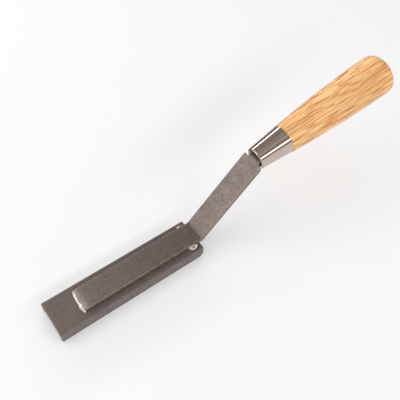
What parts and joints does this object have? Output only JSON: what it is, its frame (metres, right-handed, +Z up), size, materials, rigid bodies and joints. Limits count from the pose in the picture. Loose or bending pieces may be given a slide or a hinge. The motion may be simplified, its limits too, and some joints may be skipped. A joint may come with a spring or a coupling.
{
  "type": "brick jointer",
  "caption": "Channel-shaped masonry jointer: a steel channel on a cranked flat bar, with a tapered ferrule and a turned wood handle, for tooling raised mortar joints.",
  "frame": {"origin": "middle of the sole: on the plane of the channel's leg edges, midway between the legs and midway along the channel", "axes": "+X from the nose to the heel and the handle, +Z up from the sole to the channel's back, so the user's left is -Y"},
  "size_m": [0.2609, 0.0284, 0.0908],
  "materials": {
    "mill_steel": "satin",
    "bar_steel": "satin",
    "weld_steel": "gloss",
    "ferrule_chrome": "polished",
    "handle_wood": "gloss",
    "set_adhesive": "matte"
  },
  "bodies": {
    "root": {"runner_channel": "mill_steel", "strap_and_shank": "bar_steel", "strap_end_weld": "weld_steel", "heel_tack_left": "weld_steel", "heel_tack_right": "weld_steel", "ferrule": "ferrule_chrome", "wood_handle": "handle_wood", "tang_adhesive": "set_adhesive"}
  },
  "joints": []
}
